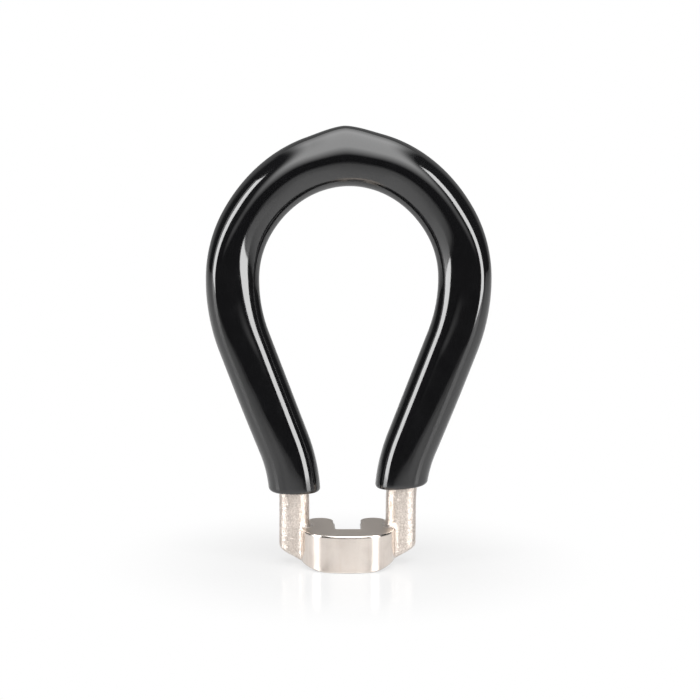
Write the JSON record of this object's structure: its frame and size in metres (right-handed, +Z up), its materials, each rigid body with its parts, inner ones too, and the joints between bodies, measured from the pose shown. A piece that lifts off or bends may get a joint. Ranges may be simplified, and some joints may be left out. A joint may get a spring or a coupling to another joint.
{
  "type": "spoke wrench",
  "caption": "Loop-handled spoke wrench: a cast, plated steel head with an open nipple slot, its teardrop loop dipped in glossy black vinyl.",
  "frame": {"origin": "middle of the head's plan, on the plane of its flat foot", "axes": "+Z up from the head to the loop's crown, +X across the loop to the right as seen from the bowed front face, +Y from that front face back to the mouth of the slot"},
  "size_m": [0.036, 0.011, 0.056],
  "materials": {
    "plated_steel": "nickel plate over cast steel, ground smooth on the head's front and pebbled on the uprights",
    "black_vinyl": "glossy dipped vinyl"
  },
  "bodies": {
    "root": {"wrench_body": "plated_steel", "vinyl_grip": "black_vinyl"}
  },
  "joints": []
}
